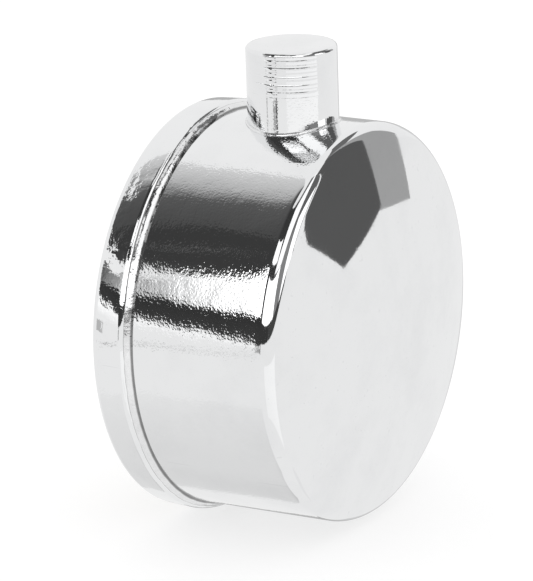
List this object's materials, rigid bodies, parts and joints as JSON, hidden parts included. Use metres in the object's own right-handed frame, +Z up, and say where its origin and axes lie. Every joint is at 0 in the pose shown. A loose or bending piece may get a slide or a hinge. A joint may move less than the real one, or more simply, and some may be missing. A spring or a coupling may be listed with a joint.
{
  "type": "automatic air vent",
  "caption": "Round drum air vent for a steam radiator, with an upright vent stub, a threaded inlet at the back and a float that closes the valve inside.",
  "frame": {"origin": "centre of the inlet nipple's free end face, on the nipple's axis", "axes": "+Y out of the nipple towards the radiator, +Z up along the vent stub, the domed front faces -Y"},
  "size_m": [0.0572, 0.0435, 0.0666],
  "materials": {
    "chrome": "bright chrome plate, lightly hazed",
    "plated_solder": "plated solder, slightly uneven",
    "brass": "plain drawn and turned brass",
    "copper": "drawn copper, dull",
    "bronze": "rolled phosphor bronze",
    "steel": "turned stainless steel"
  },
  "bodies": {
    "housing": {"front_shell": "chrome", "back_cover": "chrome", "seam_solder_ring": "plated_solder", "float_guide_left": "brass", "float_guide_right": "brass", "vent_stub": "chrome", "stub_solder_ring": "plated_solder", "seat_bushing": "brass", "vent_orifice": "steel", "pin_guide": "brass", "float_rest": "brass", "inlet_nipple": "brass", "nipple_solder_ring": "plated_solder", "siphon_tongue": "brass", "steam_baffle": "brass"},
    "float": {"float_can": "copper", "float_diaphragm": "bronze", "diaphragm_ring": "brass", "valve_pin": "brass", "pin_ferrule": "brass", "fill_plug": "plated_solder"},
    "foot": {"diaphragm_button": "brass"}
  },
  "joints": [
    {"name": "float_lift", "type": "slide", "parent": "housing", "child": "float", "axis": [0, 0, 1], "range_m": [0, 0.0016]},
    {"name": "diaphragm_bulge", "type": "slide", "parent": "float", "child": "foot", "axis": [0, 0, -1], "range_m": [0, 0.0016], "deforming": ["float_diaphragm"]}
  ],
  "couplings": [
    {"joint": "diaphragm_bulge", "follows": "float_lift", "ratio": 1}
  ]
}
